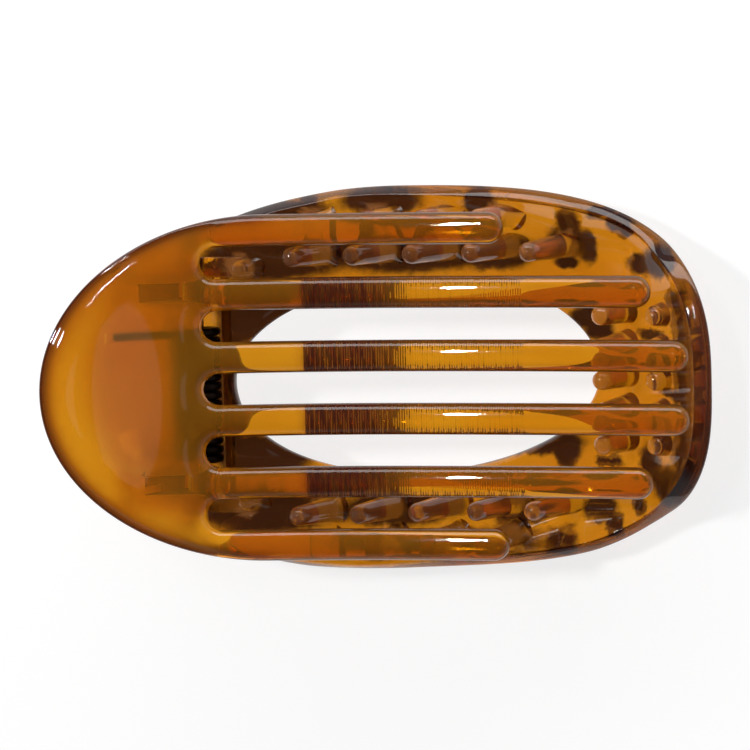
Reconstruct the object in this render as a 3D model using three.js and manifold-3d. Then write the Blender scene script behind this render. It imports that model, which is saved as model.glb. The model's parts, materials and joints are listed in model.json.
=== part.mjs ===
// A large flat claw clip for hair: a comb jaw hinged over a frame jaw, held shut by a torsion spring.
// Millimetres, +Z up, +X towards the tine tips, +Y across the clip.
// Shapes are laid out from the slot roots (x = 0) and the tine plane (z = 0), then moved so that the
// origin lies under the middle of the clip, on the surface that it rests on.
import * as THREE from 'three';
import { mergeVertices } from 'three/addons/utils/BufferGeometryUtils.js';
import Module from 'manifold-3d';

const wasm = await Module();
wasm.setup();

// ---------- driving dimensions ----------
const REST_DEPTH = 21.0;         // from the tine plane down to the resting surface

const TINE_PITCH = 10.3;
const TINE_WIDTH = 5.2;
const TINE_TIPS = [49.2, 72.8, 78.8, 78.8, 72.8, 49.2];
const COMB_THICKNESS = 3.8;
const COMB_ROUNDING = 1.4;
const COMB_HALF_WIDTH = 2.5 * TINE_PITCH + TINE_WIDTH / 2;
const COMB_PAD_CENTRE = 10;      // centre of the half ellipse that ends the thumb pad
const COMB_PAD_LENGTH = 35.8;
const COMB_LOW_X = 33;           // where the comb dips lowest
const COMB_DIP = 1.4;
const COMB_RISE_TO_PAD = 0.0026; // mm of rise per mm squared, towards the pad
const COMB_RISE_TO_TIPS = 0.0009;

const FRAME_THICKNESS = 3.0;
const FRAME_CENTRE = 32;
const FRAME_RIGHT_LENGTH = 50.1;
const FRAME_LEFT_LENGTH = 48;
const FRAME_HALF_WIDTH = 31.6;
const FRAME_RIGHT_POWER = 2.85;
const FRAME_LEFT_POWER = 2.3;
const RIM_CURL = 3;              // how late the ring's sides curve up: the power of the climb
const FLOOR_END_X = 79;
const FRAME_PAD_LENGTH = 34.6;
const FRAME_PAD_HALF_WIDTH = 26.8;
const OPENING_CENTRE = 33;
const OPENING_HALF_LENGTH = 29.2;
const OPENING_HALF_WIDTH = 16.1;

// The middle of the clip, between the end of the thumb pad and the end of the ring.
const PAD_END = COMB_PAD_CENTRE - COMB_PAD_LENGTH;
const RING_END = FRAME_CENTRE + FRAME_RIGHT_LENGTH;
const MIDDLE_X = (PAD_END + RING_END) / 2;

const HINGE_X = -2.8;
const HINGE_Z = -6.5;
const EYE_RADIUS = 3.5;
const PIN_RADIUS = 1.5;
const CLEARANCE = 0.3;
const COMB_LUG = [14.2, 17.3];   // inner and outer face of each comb lug
const FRAME_LUG = [17.7, 21.1];  // inner and outer face of each frame lug
const BORE_REACH = 30;           // far enough to pass both lugs on a side
const WINDOW = { left: -7.2, right: 1.9, halfWidth: 17.7, depth: 20 };
const TROUGH = { inner: 4.7, outer: 6.3, fromDegrees: 214, toDegrees: 350, halfWidth: 18.3 };

const WIRE_RADIUS = 0.7;
const COIL_RADIUS = 3.5;
const COIL_PITCH = 1.5;
const COIL_START_Y = 8.8;
const COIL_TURNS = 14;
const UPPER_LEG_ANGLE = 20 * Math.PI / 180;
const LOWER_LEG_ANGLE = 19 * Math.PI / 180;
const LEG_LENGTH = 14;
const CHANNEL_SPARE = 2;         // how much longer a leg's channel is than the leg
const CHANNEL_SHIFT = 0.4;       // and how far it is set back from the coil

const ROW_PITCH = 5.3;
const PEG_TIP_RADIUS = 1.55;
const PEG_BASE_RADIUS = 2.2;
const PEG_DOME = 0.6;
const PEG_ROOT_DEPTH = 1.2;

// ---------- helpers ----------
const toManifold = (geometry) => {
  const bare = geometry.clone();
  bare.deleteAttribute('normal');
  bare.deleteAttribute('uv');
  const merged = mergeVertices(bare, 1e-4);
  const vertProperties = new Float32Array(merged.attributes.position.array);
  const triVerts = new Uint32Array(merged.index.array);
  return new wasm.Manifold(new wasm.Mesh({ numProp: 3, vertProperties, triVerts }));
};

const toGeometry = (manifold) => {
  const mesh = manifold.getMesh();
  const geometry = new THREE.BufferGeometry();
  geometry.setAttribute('position', new THREE.BufferAttribute(new Float32Array(mesh.vertProperties), 3));
  geometry.setIndex(new THREE.BufferAttribute(new Uint32Array(mesh.triVerts), 1));
  return geometry;
};

// A smooth cubic through [x, value] stations, level beyond the first and the last.
const profile = (stations) => {
  const points = stations.map(([x, value]) => new THREE.Vector2(x, value));
  return (x) => {
    if (x <= points[0].x) return points[0].y;
    const next = points.findIndex((point) => point.x >= x);
    if (next < 0) return points[points.length - 1].y;
    const a = points[Math.max(next - 2, 0)];
    const b = points[next - 1];
    const c = points[next];
    const d = points[Math.min(next + 1, points.length - 1)];
    const span = c.x - b.x;
    const slopeB = (c.y - a.y) / (c.x - a.x || 1);
    const slopeC = (d.y - b.y) / (d.x - b.x || 1);
    const t = (x - b.x) / span;
    const t2 = t * t;
    const t3 = t2 * t;
    return (2 * t3 - 3 * t2 + 1) * b.y + (t3 - 2 * t2 + t) * span * slopeB
      + (3 * t2 - 2 * t3) * c.y + (t3 - t2) * span * slopeC;
  };
};

// A plate of constant thickness across the clip, drawn as a side view in x and z.
const sidePlate = (outline, yFrom, yTo) => {
  const shape = new THREE.Shape(outline.map(([x, z]) => new THREE.Vector2(x, z)));
  const geometry = new THREE.ExtrudeGeometry(shape, { depth: yTo - yFrom, bevelEnabled: false, steps: 1 });
  geometry.rotateX(Math.PI / 2);
  geometry.translate(0, yTo, 0);
  return toManifold(geometry);
};

// A rod across the clip on the hinge axis.
const hingeRod = (radius, yFrom, yTo, sides) => {
  const geometry = new THREE.CylinderGeometry(radius, radius, yTo - yFrom, sides);
  geometry.translate(HINGE_X, (yFrom + yTo) / 2, HINGE_Z);
  return geometry;
};

// Points of an arc round the hinge axis, angles in degrees from +X towards +Z.
const hingeArc = (radius, fromDegrees, toDegrees, steps) => {
  const points = [];
  for (let i = 0; i <= steps; i += 1) {
    const angle = THREE.MathUtils.degToRad(fromDegrees + (toDegrees - fromDegrees) * i / steps);
    points.push([HINGE_X + radius * Math.cos(angle), HINGE_Z + radius * Math.sin(angle)]);
  }
  return points;
};

// ---------- comb jaw ----------
const combHeight = (x) => {
  const rise = x < COMB_LOW_X ? COMB_RISE_TO_PAD : COMB_RISE_TO_TIPS;
  return rise * (x - COMB_LOW_X) ** 2 - COMB_DIP;
};

const tineCentre = (index) => (2.5 - index) * TINE_PITCH;

const combOutline = () => {
  const points = [];
  const add = (x, y) => points.push(new THREE.Vector2(x, y));
  const straight = (fromX, toX, y, steps) => {
    for (let i = 1; i < steps; i += 1) add(fromX + (toX - fromX) * i / steps, y);
  };
  const arc = (x, y, radius, fromDegrees, toDegrees, steps) => {
    for (let i = 0; i <= steps; i += 1) {
      const angle = THREE.MathUtils.degToRad(fromDegrees + (toDegrees - fromDegrees) * i / steps);
      add(x + radius * Math.cos(angle), y + radius * Math.sin(angle));
    }
  };
  const half = TINE_WIDTH / 2;
  const slotHalf = (TINE_PITCH - TINE_WIDTH) / 2;
  const padSteps = 26;
  for (let i = 0; i <= padSteps; i += 1) {
    const angle = Math.PI / 2 + Math.PI * i / padSteps;
    add(COMB_PAD_CENTRE + COMB_PAD_LENGTH * Math.cos(angle), COMB_HALF_WIDTH * Math.sin(angle));
  }
  for (let index = 5; index >= 0; index -= 1) {
    const y = tineCentre(index);
    const shoulder = TINE_TIPS[index] - half;
    const rootBefore = index === 5 ? COMB_PAD_CENTRE : slotHalf;
    const rootAfter = index === 0 ? COMB_PAD_CENTRE : slotHalf;
    straight(rootBefore, shoulder, y - half, 5);
    arc(shoulder, y, half, -90, 90, 8);
    straight(shoulder, rootAfter, y + half, 5);
    if (index > 0) arc(slotHalf, y + TINE_PITCH / 2, slotHalf, -90, -270, 8);
  }
  return points;
};

const bendComb = (geometry) => {
  const position = geometry.attributes.position;
  for (let i = 0; i < position.count; i += 1) {
    position.setZ(i, position.getZ(i) + combHeight(position.getX(i)));
  }
  return geometry;
};

const combPlate = () => {
  const geometry = new THREE.ExtrudeGeometry(new THREE.Shape(combOutline()), {
    depth: COMB_THICKNESS - 2 * COMB_ROUNDING,
    bevelEnabled: true,
    bevelThickness: COMB_ROUNDING,
    bevelSize: COMB_ROUNDING,
    bevelOffset: -COMB_ROUNDING,
    bevelSegments: 2,
    steps: 1,
  });
  geometry.translate(0, 0, COMB_ROUNDING - COMB_THICKNESS / 2);
  return toManifold(bendComb(geometry));
};

// Side view of a comb lug: an eye round the pin with a web up into the pad.
const combLugOutline = () => {
  const sunk = 0.9;
  return [
    [1.2, combHeight(1.2) - sunk],
    ...hingeArc(EYE_RADIUS, 20, -180, 10),
    [-11.6, combHeight(-11.6) - COMB_THICKNESS / 2 - 0.2],
    [-12.2, combHeight(-12.2) - sunk],
    [-6, combHeight(-6) - sunk],
  ].reverse();
};

// ---------- frame jaw ----------
const frameFloor = profile([
  [-25, -18.0], [-18, -15.0], [-9, -11.2], [-3, -8.0], [3, -5.2], [11, -6.0], [19, -8.3],
  [30, -12.0], [40, -15.0], [49, -17.3], [57, -18.5], [66, -17.6], [73, -14.6], [79, -11.0],
]);

const frameRim = profile([
  [-25, -18.0], [-18, -15.0], [-9, -10.8], [-3, -7.0], [3, -4.4], [14, -6.4], [22, -9.9],
  [30, -12.0], [40, -13.2], [50, -13.4], [60, -13.0], [70, -12.2], [74, -10.0], [77, -6.0],
  [80, -2.4], [82.1, -0.6],
]);

const superellipse = (x, length, halfWidth, power) => {
  const reach = Math.min(Math.abs(x) / length, 1);
  return halfWidth * (1 - reach ** power) ** (1 / power);
};

// Half width of the frame jaw's outline at x: the ring on the right, the thumb pad on the left.
const frameHalfWidth = (x) => {
  const fromCentre = x - FRAME_CENTRE;
  if (fromCentre > 0) {
    return superellipse(fromCentre, FRAME_RIGHT_LENGTH, FRAME_HALF_WIDTH, FRAME_RIGHT_POWER);
  }
  const ring = superellipse(fromCentre, FRAME_LEFT_LENGTH, FRAME_HALF_WIDTH, FRAME_LEFT_POWER);
  const pad = x < COMB_PAD_CENTRE
    ? superellipse(x - COMB_PAD_CENTRE, FRAME_PAD_LENGTH, FRAME_PAD_HALF_WIDTH, 2)
    : 0;
  return Math.max(ring, pad);
};

// Where a ray from the opening's centre leaves the outline.
const frameEdge = (angle) => {
  const dx = Math.cos(angle);
  const dy = Math.sin(angle);
  let near = 10;
  let far = 70;
  for (let i = 0; i < 30; i += 1) {
    const middle = (near + far) / 2;
    const x = OPENING_CENTRE + middle * dx;
    const inside = x < FRAME_CENTRE + FRAME_RIGHT_LENGTH
      && x > COMB_PAD_CENTRE - FRAME_PAD_LENGTH
      && Math.abs(middle * dy) < frameHalfWidth(x);
    if (inside) near = middle;
    else far = middle;
  }
  return near;
};

const openingEdge = (angle) => 1 / Math.hypot(
  Math.cos(angle) / OPENING_HALF_LENGTH,
  Math.sin(angle) / OPENING_HALF_WIDTH,
);

// Middle of the plate's thickness along one ray, as [reach, height] from the opening outwards.
// The ring's sides curve up gently; the far end turns up into a wall.
const frameSection = (angle, steps) => {
  const dx = Math.cos(angle);
  const inner = openingEdge(angle);
  const outer = frameEdge(angle);
  const rimX = OPENING_CENTRE + outer * dx;
  const half = FRAME_THICKNESS / 2;
  const upright = THREE.MathUtils.smoothstep(rimX, 60, 80);
  const climbAtRim = frameRim(rimX) - frameFloor(Math.min(rimX, FLOOR_END_X)) + half;
  const sideSlope = Math.atan(RIM_CURL * climbAtRim / (outer - inner));
  const rimSlope = THREE.MathUtils.lerp(sideSlope, Math.PI / 2, upright);
  const rimReach = outer - half * Math.sin(rimSlope);
  const rimHeight = frameRim(rimX) + half * Math.cos(rimSlope) * (1 - upright) - half * upright;
  const points = [];
  for (let i = 0; i <= steps; i += 1) {
    const u = i / steps;
    const turn = u * Math.PI / 2;
    const along = THREE.MathUtils.lerp(u, Math.sin(turn), upright);
    const reach = inner + (rimReach - inner) * along;
    const floor = frameFloor(Math.min(OPENING_CENTRE + reach * dx, FLOOR_END_X)) - half;
    const climb = THREE.MathUtils.lerp(u ** RIM_CURL, 1 - Math.cos(turn), upright);
    points.push([reach, floor + (rimHeight - floor) * climb]);
  }
  return points;
};

// The ring and thumb pad as one closed skin: a loop of upper, rim, lower and opening points per ray.
const framePlate = (rays, steps) => {
  const positions = [];
  const indices = [];
  const half = FRAME_THICKNESS / 2;
  const loops = [];
  for (let ray = 0; ray < rays; ray += 1) {
    const angle = 2 * Math.PI * ray / rays;
    const section = frameSection(angle, steps);
    const upper = [];
    const lower = [];
    section.forEach(([reach, height], i) => {
      const before = section[Math.max(i - 1, 0)];
      const after = section[Math.min(i + 1, section.length - 1)];
      const run = after[0] - before[0];
      const rise = after[1] - before[1];
      const length = Math.hypot(run, rise);
      const offset = [-half * rise / length, half * run / length];
      upper.push([reach + offset[0], height + offset[1]]);
      lower.push([reach - offset[0], Math.max(height - offset[1], -REST_DEPTH)]);
    });
    loops.push([...upper, ...lower.reverse()].map(([reach, height]) => [
      OPENING_CENTRE + reach * Math.cos(angle), reach * Math.sin(angle), height,
    ]));
  }
  const size = loops[0].length;
  loops.forEach((loop) => loop.forEach((point) => positions.push(...point)));
  for (let ray = 0; ray < rays; ray += 1) {
    const next = (ray + 1) % rays;
    for (let i = 0; i < size; i += 1) {
      const j = (i + 1) % size;
      const a = ray * size + i;
      const b = ray * size + j;
      const c = next * size + j;
      const d = next * size + i;
      indices.push(a, b, c, a, c, d);
    }
  }
  const geometry = new THREE.BufferGeometry();
  geometry.setAttribute('position', new THREE.Float32BufferAttribute(positions, 3));
  geometry.setIndex(indices);
  return toManifold(geometry);
};

// Height of the plate's upper face at a point, found by walking the section of the ray through it.
const frameTop = (x, y) => {
  const angle = Math.atan2(y, x - OPENING_CENTRE);
  const reach = Math.hypot(x - OPENING_CENTRE, y);
  const section = frameSection(angle, 40);
  const next = Math.max(section.findIndex((point) => point[0] >= reach), 1);
  const [a, b] = [section[next - 1], section[next]];
  const t = (reach - a[0]) / (b[0] - a[0]);
  return a[1] + t * (b[1] - a[1]) + FRAME_THICKNESS / 2;
};

// Side view of a frame lug: an eye round the pin, with a web running down into the ring.
const frameLugOutline = () => [
  [-6.2, -9.6], [-2, -9.4], [7.5, -6.8], [7.5, -5.0],
  [4.5, -3.4], ...hingeArc(EYE_RADIUS, 60, 190, 9),
];

// ---------- pegs ----------
// Every peg leans back towards the hinge; base x, tip x and tip height follow the bowl. Where an
// outer tip height is given, a shorter peg stands beside it in the outer row.
const sideStations = [
  { baseX: 18.9, tipX: 14.1, tipZ: -0.6, outerTipZ: -4.6 },
  { baseX: 28.9, tipX: 23.8, tipZ: -2.3, outerTipZ: -5.6 },
  { baseX: 38.6, tipX: 33.2, tipZ: -4.3, outerTipZ: -6.8 },
  { baseX: 48.4, tipX: 42.7, tipZ: -5.5, outerTipZ: -7.4 },
  { baseX: 57.9, tipX: 52.0, tipZ: -5.9 },
];
const CHEEK_PEG = { baseX: 6.6, tipX: 5.2, tipZ: -2.2, fromMiddle: 19.1, tipRadius: 1.25 };
const endColumns = [
  { baseX: 67.6, tipX: 63.4, tipZ: -7.6 },
  { baseX: 74.0, tipX: 72.1, tipZ: -7.1 },
];

const pegList = () => {
  const pegs = [];
  [-1, 1].forEach((side) => {
    pegs.push({ ...CHEEK_PEG, y: side * CHEEK_PEG.fromMiddle });
    sideStations.forEach(({ baseX, tipX, tipZ, outerTipZ }) => {
      pegs.push({ baseX, tipX, tipZ, y: side * 4 * ROW_PITCH });
      if (outerTipZ === undefined) return;
      const fraction = (tipZ - outerTipZ) / (tipZ - frameFloor(baseX));
      const outerTipX = tipX + (baseX - tipX) * fraction;
      pegs.push({ baseX, tipX: outerTipX, tipZ: outerTipZ, y: side * 5 * ROW_PITCH });
    });
  });
  endColumns.forEach((column) => {
    for (let row = -2; row <= 2; row += 1) pegs.push({ ...column, y: row * ROW_PITCH });
  });
  return pegs;
};

const pegSolid = ({ baseX, tipX, tipZ, y, tipRadius = PEG_TIP_RADIUS }, sides) => {
  const foot = new THREE.Vector3(baseX, y, frameTop(baseX, y));
  const tip = new THREE.Vector3(tipX, y, tipZ);
  const direction = tip.clone().sub(foot).normalize();
  foot.addScaledVector(direction, -PEG_ROOT_DEPTH);
  const shoulder = foot.distanceTo(tip);
  const outline = [
    [0, 0], [PEG_BASE_RADIUS, 0], [tipRadius, shoulder],
    [tipRadius * 0.7, shoulder + PEG_DOME * 0.7], [0, shoulder + PEG_DOME],
  ].map(([radius, height]) => new THREE.Vector2(radius, height));
  const geometry = new THREE.LatheGeometry(outline, sides);
  const upright = new THREE.Vector3(0, 1, 0);
  geometry.applyQuaternion(new THREE.Quaternion().setFromUnitVectors(upright, direction));
  geometry.translate(foot.x, foot.y, foot.z);
  return toManifold(geometry);
};

// ---------- spring ----------
const SPRING_FIRST_ANGLE = Math.PI / 2 - UPPER_LEG_ANGLE;
const SPRING_LAST_ANGLE = LOWER_LEG_ANGLE - Math.PI / 2;
const SPRING_SWEEP = SPRING_FIRST_ANGLE - SPRING_LAST_ANGLE + 2 * Math.PI * COIL_TURNS;

// A straight leg, the coil, and the other straight leg, walked at an even speed.
class SpringPath extends THREE.Curve {
  getPoint(t, target = new THREE.Vector3()) {
    const coilLength = SPRING_SWEEP * COIL_RADIUS;
    const walked = t * (coilLength + 2 * LEG_LENGTH) - LEG_LENGTH;
    const turned = THREE.MathUtils.clamp(walked, 0, coilLength) / COIL_RADIUS;
    const straight = walked - turned * COIL_RADIUS;
    const angle = SPRING_FIRST_ANGLE - turned;
    return target.set(
      HINGE_X + COIL_RADIUS * Math.cos(angle) + straight * Math.sin(angle),
      COIL_START_Y - COIL_PITCH * turned / (2 * Math.PI),
      HINGE_Z + COIL_RADIUS * Math.sin(angle) - straight * Math.cos(angle),
    );
  }
}

const wireSection = (radius, sides) => {
  const points = [];
  for (let i = 0; i < sides; i += 1) {
    const angle = 2 * Math.PI * i / sides;
    points.push(new THREE.Vector2(radius * Math.cos(angle), radius * Math.sin(angle)));
  }
  return new THREE.Shape(points);
};

const springSolid = (stepsPerTurn, sides) => {
  const path = new SpringPath();
  const steps = Math.round((COIL_TURNS + 2) * stepsPerTurn);
  path.arcLengthDivisions = steps * 4;
  return new THREE.ExtrudeGeometry(wireSection(WIRE_RADIUS, sides), {
    extrudePath: path, steps, bevelEnabled: false,
  });
};

// The room that a leg lies in: a channel along the leg, open at the coil end.
const legChannel = (angle, y, direction) => {
  const width = 2 * (WIRE_RADIUS + CLEARANCE);
  const channel = new THREE.BoxGeometry(LEG_LENGTH + CHANNEL_SPARE, width, width);
  channel.translate(-LEG_LENGTH / 2 - CHANNEL_SHIFT, 0, direction * COIL_RADIUS);
  channel.rotateY(direction * angle);
  channel.translate(HINGE_X, y, HINGE_Z);
  return toManifold(channel);
};

// ---------- assembly ----------
const RAYS = 60;
const RAY_STEPS = 7;
const PEG_SIDES = 8;
const EYE_SIDES = 16;

const combSolid = () => {
  let solid = combPlate();
  [-1, 1].forEach((side) => {
    const [from, to] = COMB_LUG.map((distance) => side * distance).sort((a, b) => a - b);
    solid = solid.add(sidePlate(combLugOutline(), from, to));
  });
  solid = solid.subtract(toManifold(hingeRod(PIN_RADIUS + CLEARANCE, -BORE_REACH, BORE_REACH, EYE_SIDES)));
  return solid.subtract(legChannel(UPPER_LEG_ANGLE, COIL_START_Y, 1));
};

const windowSolid = () => {
  const { left, right, halfWidth, depth } = WINDOW;
  const geometry = new THREE.BoxGeometry(right - left, 2 * halfWidth, depth);
  geometry.translate((left + right) / 2, 0, HINGE_Z);
  return toManifold(geometry);
};

// The wall that runs round under the coil, from the thumb pad to the ring.
const troughSolid = () => {
  const { inner, outer, fromDegrees, toDegrees, halfWidth } = TROUGH;
  return sidePlate([
    ...hingeArc(outer, fromDegrees, toDegrees, 10),
    ...hingeArc(inner, toDegrees, fromDegrees, 10),
  ], -halfWidth, halfWidth);
};

const frameSolid = () => {
  let solid = framePlate(RAYS, RAY_STEPS).subtract(windowSolid()).add(troughSolid());
  [-1, 1].forEach((side) => {
    const [from, to] = FRAME_LUG.map((distance) => side * distance).sort((a, b) => a - b);
    solid = solid.add(sidePlate(frameLugOutline(), from, to));
  });
  pegList().forEach((peg) => {
    solid = solid.add(pegSolid(peg, PEG_SIDES));
  });
  solid = solid.subtract(toManifold(hingeRod(PIN_RADIUS + CLEARANCE, -BORE_REACH, BORE_REACH, EYE_SIDES)));
  const lowerLegY = COIL_START_Y - COIL_PITCH * SPRING_SWEEP / (2 * Math.PI);
  return solid.subtract(legChannel(LOWER_LEG_ANGLE, lowerLegY, -1));
};

const materials = {
  amber: { color: 0xc87d0f, roughness: 0.12, metalness: 0 },
  tortoise: { color: 0x7a3f14, roughness: 0.12, metalness: 0 },
  springSteel: { color: 0x2b2a2c, roughness: 0.4, metalness: 1 },
  pinSteel: { color: 0xa8a8a8, roughness: 0.3, metalness: 1 },
};

const group = new THREE.Group();
const addPiece = (name, geometry, finish) => {
  geometry.translate(-MIDDLE_X, 0, REST_DEPTH);
  const mesh = new THREE.Mesh(geometry, new THREE.MeshStandardMaterial(finish));
  mesh.name = name;
  group.add(mesh);
};

addPiece('comb_jaw', toGeometry(combSolid()), materials.amber);
addPiece('frame_jaw', toGeometry(frameSolid()), materials.tortoise);
addPiece('torsion_spring', springSolid(12, 6), materials.springSteel);
addPiece('hinge_pin', hingeRod(PIN_RADIUS, -FRAME_LUG[1], FRAME_LUG[1], EYE_SIDES), materials.pinSteel);

export default group;
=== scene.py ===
"""Looks for a large flat claw clip: an amber comb jaw over a tortoiseshell frame jaw, with spring and pin.

Shapes are laid out in millimetres with the slot roots at x = 0 and the tine plane at z = 0, as in the
CAD source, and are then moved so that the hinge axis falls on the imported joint.
"""
import json
import math

import bmesh
import bpy
import numpy as np
from mathutils import Matrix, Vector
from mathutils.geometry import delaunay_2d_cdt


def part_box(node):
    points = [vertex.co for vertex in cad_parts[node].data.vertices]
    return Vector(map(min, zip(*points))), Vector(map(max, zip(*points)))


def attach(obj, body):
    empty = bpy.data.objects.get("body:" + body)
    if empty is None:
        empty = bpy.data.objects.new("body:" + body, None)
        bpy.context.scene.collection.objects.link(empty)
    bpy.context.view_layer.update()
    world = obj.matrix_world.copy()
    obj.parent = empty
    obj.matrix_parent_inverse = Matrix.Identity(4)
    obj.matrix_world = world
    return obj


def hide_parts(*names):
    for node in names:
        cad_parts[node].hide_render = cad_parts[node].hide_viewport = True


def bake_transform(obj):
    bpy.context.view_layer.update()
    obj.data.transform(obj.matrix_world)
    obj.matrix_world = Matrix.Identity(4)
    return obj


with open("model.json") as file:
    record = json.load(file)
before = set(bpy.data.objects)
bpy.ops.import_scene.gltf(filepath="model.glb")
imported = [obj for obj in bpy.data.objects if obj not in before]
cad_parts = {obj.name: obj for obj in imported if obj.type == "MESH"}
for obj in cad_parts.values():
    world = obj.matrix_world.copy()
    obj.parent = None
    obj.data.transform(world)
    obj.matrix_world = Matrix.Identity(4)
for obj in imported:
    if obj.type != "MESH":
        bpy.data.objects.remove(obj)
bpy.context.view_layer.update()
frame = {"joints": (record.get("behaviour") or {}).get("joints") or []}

# ---------- dimensions, in mm ----------
HINGE_X, HINGE_Z = -2.8, -6.5
HINGE = Vector(frame["joints"][0]["pos_m"])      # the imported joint, in metres
REST_DEPTH = 21.0
TO_FRAME = Matrix.Translation(HINGE) @ Matrix.Scale(0.001, 4) @ Matrix.Translation((-HINGE_X, 0, -HINGE_Z))

TINE_PITCH = 10.3
TINE_WIDTH = 5.2
TINE_TIPS = [49.2, 72.8, 78.8, 78.8, 72.8, 49.2]     # x of the tines' ends
COMB_THICKNESS = 3.8
COMB_HALF_WIDTH = 2.5 * TINE_PITCH + TINE_WIDTH / 2
COMB_PAD_CENTRE = 10.0
COMB_PAD_LENGTH = 35.8
SLOT_HALF = (TINE_PITCH - TINE_WIDTH) / 2
EDGE_REACH = TINE_WIDTH / 2          # how far in from its outline the comb rounds over
EDGE_POWER = 2.05
PAD_ROUND = 5.2                      # how far in the thumb pad's own outline rounds over
PAD_TOP_DROP = 1.0
PAD_UNDER_RISE = 0.5
OUTLINE_STEP = 1.2                   # between stations along a tine's side
INNER_STEP = 1.3                     # between the pad's inner points
LOOPS = [0.0, 0.06, 0.22, 0.5, 0.9, 1.4, 1.9]    # insets of the rows of quads round the comb's edge
RIB_PITCH = 0.4
RIB_DEPTH = 0.30
RIB_FROM, RIB_TO = 16.0, 52.0
RIB_FADE_FROM, RIB_FADE_TO, RIB_FADE = 28, 34, 0.62      # the far ribs are this share lower
# where the ribs' painted shade fades out along x
RIB_SHADE_FADE = (26, 35)
# how strong the painted shade along the tines' sides is
TINE_EDGE_SHADE = 0.7
LUG_FILLET = 3.2                     # how far the swelling beside a lug reaches
LUG_SWELL = 1.6
LUG_FROM, LUG_TO = -12.0, 1.0
LUG_SUNK = 0.9                       # how deep a lug is rooted in the plate, from its middle

FRAME_THICKNESS = 3.0
FRAME_CENTRE = 32.0
FRAME_RIGHT_LENGTH = 50.1
FRAME_LEFT_LENGTH = 48.0
FRAME_HALF_WIDTH = 31.6
FRAME_RIGHT_POWER = 2.85
FRAME_LEFT_POWER = 2.3
RIM_CURL = 3.0
UPRIGHT_FROM, UPRIGHT_TO = 60, 80    # x between which the rim turns upright
FLOOR_END_X = 79.0
FRAME_PAD_LENGTH = 34.6
FRAME_PAD_HALF_WIDTH = 26.8
OPENING_CENTRE = 33.0
OPENING_HALF_LENGTH = 29.2
OPENING_HALF_WIDTH = 16.1

EYE_RADIUS = 3.5
PIN_RADIUS = 1.5
CLEARANCE = 0.3
COMB_LUG = (14.2, 17.3)              # from one side of a lug to the other, in y
FRAME_LUG = (17.7, 21.1)
WINDOW = (-7.2, 1.9, 17.7)           # the coil's window in the frame: x from, x to, half width
TROUGH_INNER, TROUGH_OUTER, TROUGH_HALF_WIDTH = 4.7, 6.3, 18.3
TROUGH_FROM, TROUGH_TO = 214, 350    # degrees round the pin

WIRE_RADIUS = 0.7
COIL_RADIUS = 3.5
COIL_PITCH = 1.5
COIL_START_Y = 8.8
COIL_TURNS = 14
UPPER_LEG_ANGLE = math.radians(20)
LOWER_LEG_ANGLE = math.radians(19)
LEG_LENGTH = 14.0
WIRE_END_SOFTNESS = 0.25
FIRST_ANGLE = math.pi / 2 - UPPER_LEG_ANGLE
LAST_ANGLE = LOWER_LEG_ANGLE - math.pi / 2
SPRING_SWEEP = FIRST_ANGLE - LAST_ANGLE + 2 * math.pi * COIL_TURNS
COIL_LENGTH = SPRING_SWEEP * COIL_RADIUS
COIL_END_Y = COIL_START_Y - COIL_PITCH * SPRING_SWEEP / (2 * math.pi)

ROW_PITCH = 5.3
PEG_TIP_RADIUS = 1.55
PEG_BASE_RADIUS = 2.2
PEG_ROOT_DEPTH = 1.2
PEG_FLARE, PEG_FLARE_HEIGHT = 0.5, 2.4
DOME_DEPTH, DOME_HEIGHT = 0.75, 1.35


# ---------- mesh helpers ----------
def link_object(name, mesh):
    """A new object with the mesh, linked into the scene."""
    piece = bpy.data.objects.new(name, mesh)
    bpy.context.scene.collection.objects.link(piece)
    return piece


def mesh_object(name, points, faces):
    """A new object from points and faces."""
    mesh = bpy.data.meshes.new(name)
    mesh.from_pydata([tuple(p) for p in points], [], [tuple(int(i) for i in f) for f in faces])
    mesh.validate()
    return link_object(name, mesh)


def outward(piece):
    """Turns every face of a closed mesh outwards."""
    work = bmesh.new()
    work.from_mesh(piece.data)
    bmesh.ops.remove_doubles(work, verts=work.verts, dist=1e-4)
    bmesh.ops.recalc_face_normals(work, faces=work.faces)
    work.to_mesh(piece.data)
    work.free()
    return piece


def combine(piece, others, operation):
    """Unites the others with the piece, or cuts them from it, and removes them."""
    for other in others:
        modifier = piece.modifiers.new("combine", "BOOLEAN")
        modifier.operation = operation
        modifier.solver = "MANIFOLD"
        modifier.object = other
    graph = bpy.context.evaluated_depsgraph_get()
    result = bpy.data.meshes.new_from_object(piece.evaluated_get(graph))
    piece.modifiers.clear()
    old = piece.data
    piece.data = result
    bpy.data.meshes.remove(old)
    for other in others:
        mesh = other.data
        bpy.data.objects.remove(other)
        bpy.data.meshes.remove(mesh)
    return piece


def finish_piece(piece, name, crease_degrees, material):
    """Names the piece, moves its mesh into the frame, smooths all but its sharp edges and gives it its material."""
    piece.name = name
    piece.data.name = name
    piece.data.transform(TO_FRAME)
    piece.data.shade_smooth()
    piece.data.set_sharp_from_angle(angle=math.radians(crease_degrees))
    piece.data.materials.clear()
    piece.data.materials.append(material)
    return piece


def circle(sides):
    """Cosine and sine of evenly spaced angles round a circle."""
    return [(math.cos(2 * math.pi * i / sides), math.sin(2 * math.pi * i / sides)) for i in range(sides)]


def tube_faces(rings, sides):
    """Quads between neighbouring rings of points."""
    faces = []
    for ring in range(rings - 1):
        for i in range(sides):
            j = (i + 1) % sides
            faces.append((ring * sides + i, ring * sides + j, (ring + 1) * sides + j, (ring + 1) * sides + i))
    return faces


def capped_tube_faces(rings, sides):
    """The quads of a tube and a flat face on either end."""
    last = (rings - 1) * sides
    return [*tube_faces(rings, sides), list(range(sides)), [last + i for i in range(sides - 1, -1, -1)]]


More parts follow.
